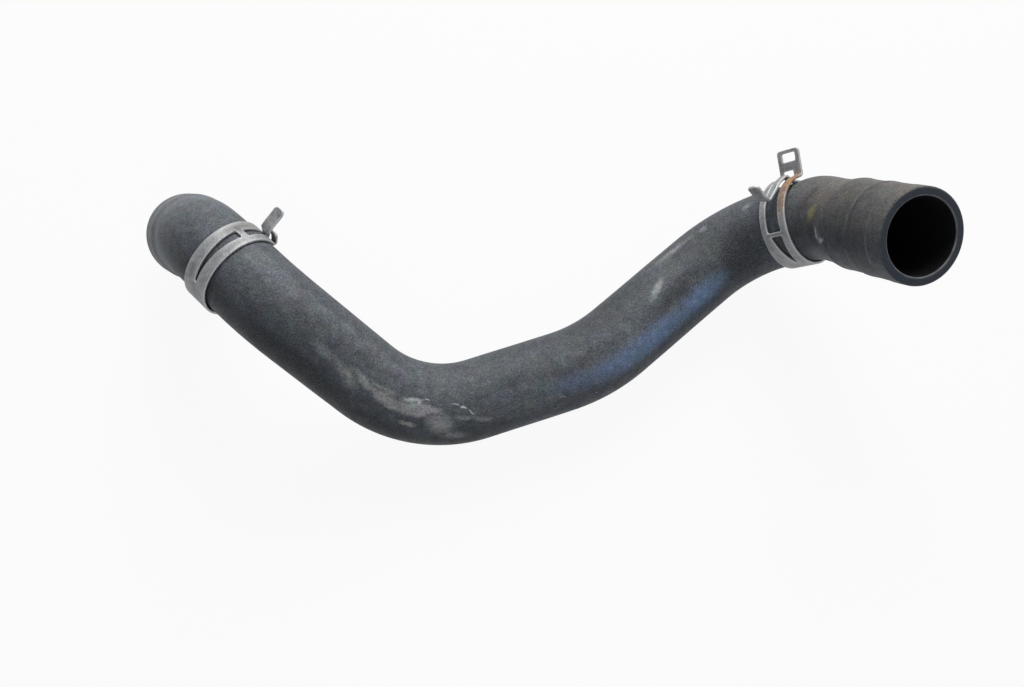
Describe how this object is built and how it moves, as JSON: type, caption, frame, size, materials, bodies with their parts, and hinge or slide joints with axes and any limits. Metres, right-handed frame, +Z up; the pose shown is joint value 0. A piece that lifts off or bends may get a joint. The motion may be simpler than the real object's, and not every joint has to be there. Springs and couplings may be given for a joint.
{
  "type": "coolant hose",
  "caption": "Moulded rubber coolant hose with a curved route, open swollen ends and a spring band clamp slid inboard of each end; it carries coolant between two spigots.",
  "frame": {"origin": "centre of the bounding box's bottom face, on the surface that the hose lies on", "axes": "+Z up, away from the surface; +X along the longest extent, from the left clamp to the right clamp; +Y towards the back as the picture shows it"},
  "size_m": [0.3954, 0.1446, 0.1319],
  "materials": {
    "rubber": "matt slate grey rubber, dusty, with pale scuffs and a faint blue sheen",
    "left_clamp_steel": "dull zinc coated spring steel, pale and chalky",
    "right_clamp_steel": "dull zinc coated spring steel with rust on one rail"
  },
  "bodies": {
    "root": {"coolant_hose": "rubber", "left_spring_clamp": "left_clamp_steel", "right_spring_clamp": "right_clamp_steel"}
  },
  "joints": []
}
